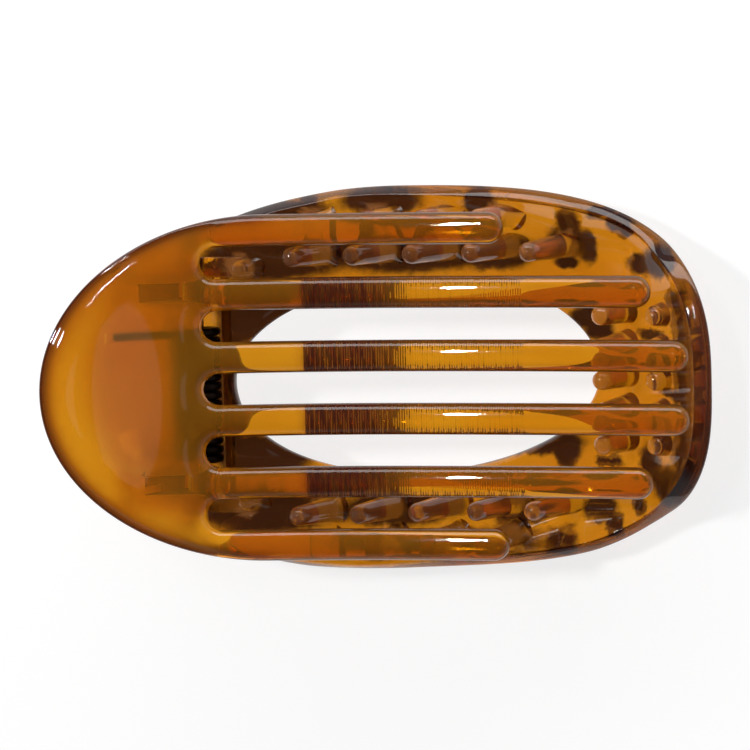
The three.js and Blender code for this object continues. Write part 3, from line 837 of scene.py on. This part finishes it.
class Shading:
    """A new material with its Principled shader, and short ways to add nodes to it."""

    def __init__(self, name):
        self.material = bpy.data.materials.new(name)
        self.material.use_nodes = True
        self.nodes, self.links = self.material.node_tree.nodes, self.material.node_tree.links
        self.shader = self.nodes["Principled BSDF"]

    def set(self, values):
        """Sets uniform values on the shader's own sockets."""
        for socket, value in values.items():
            self.shader.inputs[socket].default_value = value

    def drive(self, socket, source):
        self.links.new(source, self.shader.inputs[socket])

    def fill(self, node, values):
        """Sets or links a node's inputs in order, and gives back the node."""
        for socket, value in zip(node.inputs, values):
            if isinstance(value, bpy.types.NodeSocket):
                self.links.new(value, socket)
            else:
                socket.default_value = value
        return node

    def maths(self, operation, *values):
        node = self.nodes.new("ShaderNodeMath")
        node.operation = operation
        return self.fill(node, values).outputs["Value"]

    def vector(self, operation, *values):
        """Vector maths; its result is the length where the operation gives one."""
        node = self.nodes.new("ShaderNodeVectorMath")
        node.operation = operation
        return self.fill(node, values).outputs["Value" if operation == "LENGTH" else "Vector"]

    def mapped(self, source, low, high, to_low=0.0, to_high=1.0, smooth=False):
        node = self.nodes.new("ShaderNodeMapRange")
        if smooth:
            node.interpolation_type = "SMOOTHSTEP"
        return self.fill(node, (source, low, high, to_low, to_high)).outputs["Result"]

    def mixed(self, factor, a, b):
        """Colour a where the factor is 0 and b where it is 1."""
        node = self.nodes.new("ShaderNodeMix")
        node.data_type = "RGBA"
        self.links.new(factor, node.inputs["Factor"])
        for socket, value in zip([s for s in node.inputs if s.type == "RGBA"], (a, b)):
            if isinstance(value, tuple):
                socket.default_value = (*value, 1)
            else:
                self.links.new(value, socket)
        return [s for s in node.outputs if s.type == "RGBA"][0]

    def noise(self, vector, scale, detail=2.0, roughness=0.5):
        node = self.nodes.new("ShaderNodeTexNoise")
        self.links.new(vector, node.inputs["Vector"])
        for socket, value in (("Scale", scale), ("Detail", detail), ("Roughness", roughness)):
            node.inputs[socket].default_value = value
        return node

    def stored(self, name):
        """A number kept with the mesh's vertices."""
        node = self.nodes.new("ShaderNodeAttribute")
        node.attribute_name = name
        return node.outputs["Fac"]

    def place(self):
        """The point's place in the object, in metres."""
        return self.nodes.new("ShaderNodeTexCoord").outputs["Object"]

    def layout_place(self):
        """The point's place in layout millimetres."""
        offset = (HINGE_X - HINGE.x * 1000, 0, HINGE_Z - HINGE.z * 1000)
        return self.vector("MULTIPLY_ADD", self.place(), (1000, 1000, 1000), offset)

    def clouded(self, place, scale, a, b):
        """A slow drift between two colours."""
        clouds = self.noise(place, scale).outputs["Fac"]
        return self.mixed(self.mapped(clouds, 0.35, 0.65), a, b)

    def acrylic(self):
        """Makes the shader clear plastic, dyed right through."""
        self.set({"IOR": 1.49, "Transmission Weight": 0.82})
        volume = self.nodes.new("ShaderNodeVolumeAbsorption")
        volume.inputs["Color"].default_value = (*DYE, 1)
        volume.inputs["Density"].default_value = DYE_DENSITY
        self.links.new(volume.outputs["Volume"], self.nodes["Material Output"].inputs["Volume"])


def amber_material():
    """Clear amber: polished on top and on the tines, matt under the thumb pad, with painted shade on its edges and on
    its ribbed stretch.
    """
    look = Shading("amber_acrylic")
    place = look.layout_place()
    colour = look.clouded(place, 0.06, LIGHT_AMBER, DEEP_AMBER)
    # The pad's rim and the tines' sides get painted shade.
    colour = look.mixed(look.stored("edge"), colour, EDGE_PAINTED_SHADE)
    # The ribbed stretch gets painted shade, dark brown, lightened in streaks that stand for painted golden glints.
    along = look.vector("MULTIPLY", place, (1.6, 0.35, 0.35))
    rib_glint_streaks = look.mapped(look.noise(along, 0.6, 3, 0.6).outputs["Fac"], 0.38, 0.55, 0.70, 1.0)
    colour = look.mixed(look.maths("MULTIPLY", look.stored("ribbed"), rib_glint_streaks), colour, RIB_PAINTED_SHADE)
    look.drive("Base Color", colour)
    look.drive("Roughness", look.mapped(look.stored("matt"), 0, 1, POLISHED, MATT))
    look.acrylic()
    return look.material


def patches(look, place):
    """1 inside the frame's dark patches and 0 outside, with soft, ragged outlines."""
    ragged = look.noise(place, 0.45, 3, 0.6).outputs["Color"]
    shift = look.vector("MULTIPLY_ADD", ragged, (RAGGED, RAGGED, 0), (-RAGGED / 2, -RAGGED / 2, 0))
    moved = look.vector("ADD", place, shift)
    field = None
    for x, y, length, width in PATCHES:
        local = look.vector("MULTIPLY_ADD", moved, (1 / length, 1 / width, 0), (-x / length, -y / width, 0))
        reach = look.vector("LENGTH", local)
        field = reach if field is None else look.maths("SMOOTH_MIN", field, reach, PATCH_BLEND)
    return look.mapped(field, *PATCH_EDGE, smooth=True)


def tortoise_material():
    """Amber with soft dark patches; the pegs are an even brown and the thumb pad is pale."""
    look = Shading("tortoiseshell_acrylic")
    place = look.layout_place()
    colour = look.mixed(patches(look, place), look.clouded(place, 0.10, DEEP_RING, LIGHT_RING), DARK)
    where = look.nodes.new("ShaderNodeSeparateXYZ")
    look.links.new(place, where.inputs["Vector"])
    # The thumb pad gets its own plain amber; the far wall gets painted shade and painted reflection.
    for span, pad_tint_and_wall_shade in ((PAD_TINT_X, PAD_AMBER), (FAR_WALL_SHADE_X, FAR_WALL_PAINTED_SHADE)):
        colour = look.mixed(look.mapped(where.outputs["X"], *span, smooth=True), colour, pad_tint_and_wall_shade)
    look.drive("Base Color", look.mixed(look.stored("peg"), colour, PEG_BROWN))
    look.set({"Roughness": 0.05})
    look.acrylic()
    return look.material


def steel_material(name, colour, roughness):
    """Drawn steel: fine grain in its roughness and in how dark it is."""
    look = Shading(name)
    grain = look.noise(look.place(), STEEL_GRAIN).outputs["Fac"]
    dull, bright = [tuple(part * share for part in colour) for share in (0.75, 1.25)]
    look.drive("Base Color", look.mixed(grain, dull, bright))
    look.drive("Roughness", look.mapped(grain, 0, 1, roughness - 0.08, roughness + 0.12))
    look.set({"Metallic": 1.0})
    return look.material


# ---------- build ----------
comb = finish_piece(build_comb(), "comb_shell", 40, amber_material())
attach(comb, "comb")
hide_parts("comb_jaw")

ring = finish_piece(build_frame(), "frame_shell", 40, tortoise_material())
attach(ring, "frame")
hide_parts("frame_jaw")

black_steel = steel_material("spring_steel", (0.022, 0.020, 0.020), 0.30)
spring = finish_piece(build_spring(), "spring_wire", 60, black_steel)
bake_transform(spring)
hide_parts("torsion_spring")

bright_steel = steel_material("pin_steel", (0.62, 0.61, 0.60), 0.25)
pin = finish_piece(build_pin(), "pin_rod", 35, bright_steel)
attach(pin, "frame")
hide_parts("hinge_pin")

# ---------- floor, lights and camera ----------
FLOOR_HALF_WIDTH = 3.0
LAMP_AIM = Vector((0, 0, 0.01))
WORLD_STRENGTH = 0.38
HORIZON_END, ZENITH_FROM = 0.30, 0.62        # heights in the sky between which it darkens
ZENITH_GREY = 0.02
CAMERA_TARGET = (28.0, 2.182, 0.0)
CAMERA_LEAN_X, CAMERA_LEAN_Y = 0.17, 0.145   # how far the camera leans from straight above, per unit of height
CAMERA_DISTANCE = 0.681957
CAMERA_ROLL = 0.026
CAMERA_LENS = 203.0832

scene = bpy.context.scene
corners = [(x * FLOOR_HALF_WIDTH, y * FLOOR_HALF_WIDTH, 0) for x, y in ((-1, -1), (1, -1), (1, 1), (-1, 1))]
floor = mesh_object("floor", corners, [(0, 1, 2, 3)])
paper = Shading("paper")
paper.set({
    "Base Color": (0.32, 0.32, 0.32, 1), "Roughness": 0.9, "Specular IOR Level": 0.0,
    "Emission Color": (1, 1, 1, 1), "Emission Strength": 0.79,
})
floor.data.materials.append(paper.material)


def area_light(name, direction, distance, size, power, shape="RECTANGLE"):
    """A lamp that faces the clip, with its first side level and along X."""
    data = bpy.data.lights.new(name, "AREA")
    data.shape = shape
    data.size, data.size_y = size
    data.energy = power
    lamp = bpy.data.objects.new(name, data)
    scene.collection.objects.link(lamp)
    towards = Vector(direction).normalized()
    along = (Vector((1, 0, 0)) - towards * towards.x).normalized()
    turn = Matrix((along, towards.cross(along), towards)).transposed()
    lamp.matrix_world = Matrix.Translation(LAMP_AIM + towards * distance) @ turn.to_4x4()


area_light("key", (-0.61, 0.285, 1), 1.5, (0.10, 0.14), 9)
area_light("strip", (-0.182, 0.397, 1), 1.54, (0.009, 0.42), 2.2, "ELLIPSE")
area_light("back_box", (0.0, 1.0, 0.38), 1.3, (2.0, 0.5), 13)
area_light("panel", (0.202, -0.149, 1.0), 1.454, (0.12, 0.095), 0.011, "ELLIPSE")

# The studio is pale round the horizon and dark overhead.
world = bpy.data.worlds.new("studio")
scene.world = world
world.use_nodes = True
nodes, links = world.node_tree.nodes, world.node_tree.links
sky_place = nodes.new("ShaderNodeTexCoord")
sky_height = nodes.new("ShaderNodeSeparateXYZ")
sky_ramp = nodes.new("ShaderNodeValToRGB")
links.new(sky_place.outputs["Generated"], sky_height.inputs["Vector"])
links.new(sky_height.outputs["Z"], sky_ramp.inputs["Fac"])
for stop, height, grey in zip(sky_ramp.color_ramp.elements, (HORIZON_END, ZENITH_FROM), (1.0, ZENITH_GREY)):
    stop.position = height
    stop.color = (grey, grey, grey, 1)
links.new(sky_ramp.outputs["Color"], nodes["Background"].inputs["Color"])
nodes["Background"].inputs["Strength"].default_value = WORLD_STRENGTH

scene.view_settings.view_transform = "Standard"

# The camera looks down from slightly to the right of and behind the clip.
target = TO_FRAME @ Vector(CAMERA_TARGET)
back = Vector((CAMERA_LEAN_X, CAMERA_LEAN_Y, 1.0)).normalized()
right = Vector((1, 0, -CAMERA_LEAN_X)).normalized()
up = back.cross(right)
across = right * math.cos(CAMERA_ROLL) - up * math.sin(CAMERA_ROLL)
above = right * math.sin(CAMERA_ROLL) + up * math.cos(CAMERA_ROLL)
camera_data = bpy.data.cameras.new("camera")
camera_data.sensor_width = 36
camera_data.lens = CAMERA_LENS
camera_data.clip_start = 0.01
camera = bpy.data.objects.new("camera", camera_data)
scene.collection.objects.link(camera)
turn = Matrix((across, above, back)).transposed()
camera.matrix_world = Matrix.Translation(target + back * CAMERA_DISTANCE) @ turn.to_4x4()
scene.camera = camera
